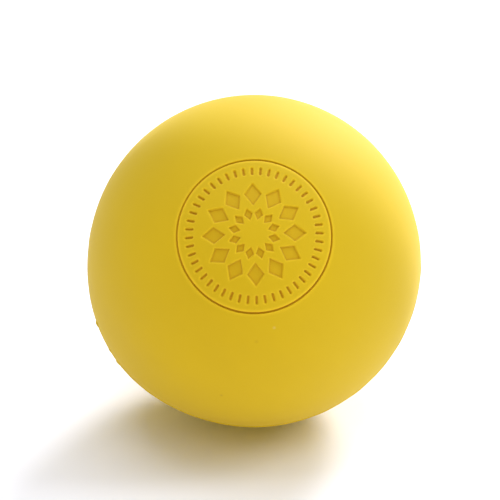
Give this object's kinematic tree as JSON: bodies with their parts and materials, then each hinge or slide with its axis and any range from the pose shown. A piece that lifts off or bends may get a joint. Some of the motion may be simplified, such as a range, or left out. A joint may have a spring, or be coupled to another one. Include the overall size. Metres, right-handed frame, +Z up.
{
  "type": "lacrosse ball",
  "caption": "Solid yellow rubber lacrosse ball: a rubber core under a cover moulded in halves, with a trimmed parting line and a ring groove on the front.",
  "frame": {"origin": "centre of the ball", "axes": "+Z up as the ball lies on a floor; the pressed front of the ball faces -Y and looks up by 35 degrees; +X to the right as seen from the front"},
  "size_m": [0.0638, 0.0634, 0.0634],
  "materials": {
    "core_rubber": "dull cured rubber",
    "cover_rubber": "smooth satin yellow rubber"
  },
  "bodies": {
    "root": {"core": "core_rubber", "front_cover_half": "cover_rubber", "rear_cover_half": "cover_rubber"}
  },
  "joints": []
}
